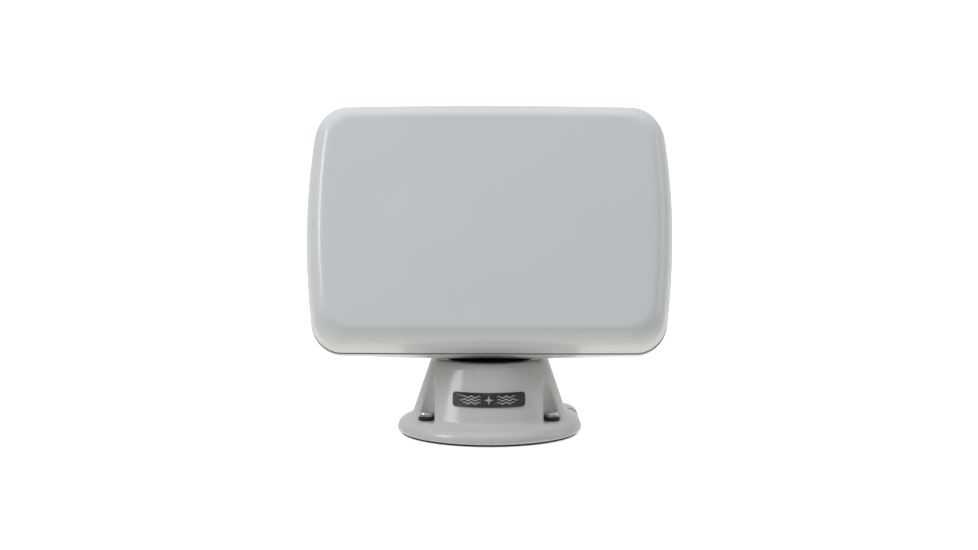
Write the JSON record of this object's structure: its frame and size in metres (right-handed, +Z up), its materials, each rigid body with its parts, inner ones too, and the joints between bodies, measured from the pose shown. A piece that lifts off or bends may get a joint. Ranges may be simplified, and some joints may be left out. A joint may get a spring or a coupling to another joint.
{
  "type": "marine display pod",
  "caption": "Blank display pod with a barrel-sided front shell and domed rear shell, clamped on a tilting cradle that swivels on a round flanged deck pedestal.",
  "frame": {"origin": "centre of the pedestal's underside, on the swivel axis", "axes": "+Z up along the swivel axis, the display face looks towards -Y, +X to the right of someone facing the display"},
  "size_m": [0.3392, 0.1728, 0.3062],
  "materials": {
    "white_gloss": "glossy UV-stable moulding, off-white",
    "black_plastic": "satin glass-filled nylon",
    "rubber": "matte",
    "stainless": "polished stainless",
    "brass": "turned",
    "badge": "satin printed plate",
    "acetal": "machined"
  },
  "bodies": {
    "pedestal": {"badge_plate": "badge", "base_gasket": "rubber", "deck_screw_front_left": "stainless", "deck_screw_front_right": "stainless", "deck_screw_rear_left": "stainless", "deck_screw_rear_right": "stainless", "pedestal_shell": "white_gloss", "sealing_washer_front_left": "rubber", "sealing_washer_front_right": "rubber", "sealing_washer_rear_left": "rubber", "sealing_washer_rear_right": "rubber", "stop_pin": "stainless", "thrust_washer": "acetal"},
    "turntable": {"clamp_bolt_left": "stainless", "clamp_bolt_right": "stainless", "clamp_plate": "stainless", "friction_washer": "acetal", "lock_washer_left": "stainless", "lock_washer_right": "stainless", "nut_lock_screw": "stainless", "spring_washer": "stainless", "stem_o_ring": "rubber", "swivel_nut": "stainless", "tilt_saddle": "black_plastic"},
    "pod": {"cover_screw_bottom_left": "stainless", "cover_screw_bottom_right": "stainless", "cover_screw_middle_left": "stainless", "cover_screw_middle_right": "stainless", "cover_screw_top_left": "stainless", "cover_screw_top_right": "stainless", "front_shell": "white_gloss", "perimeter_gasket": "rubber", "rear_shell": "white_gloss", "screw_seal_bottom_left": "rubber", "screw_seal_bottom_right": "rubber", "screw_seal_middle_left": "rubber", "screw_seal_middle_right": "rubber", "screw_seal_top_left": "rubber", "screw_seal_top_right": "rubber", "threaded_insert_bottom_left": "brass", "threaded_insert_bottom_right": "brass", "threaded_insert_middle_left": "brass", "threaded_insert_middle_right": "brass", "threaded_insert_top_left": "brass", "threaded_insert_top_right": "brass"}
  },
  "joints": [
    {"name": "swivel", "type": "hinge", "parent": "pedestal", "child": "turntable", "pos_m": [0, 0, 0.0718], "axis": [0, 0, 1], "range_deg": [-150, 150]},
    {"name": "tilt", "type": "hinge", "parent": "turntable", "child": "pod", "pos_m": [0, -0.019, 0.1324], "axis": [1, 0, 0], "range_deg": [-15, 17.5]}
  ]
}
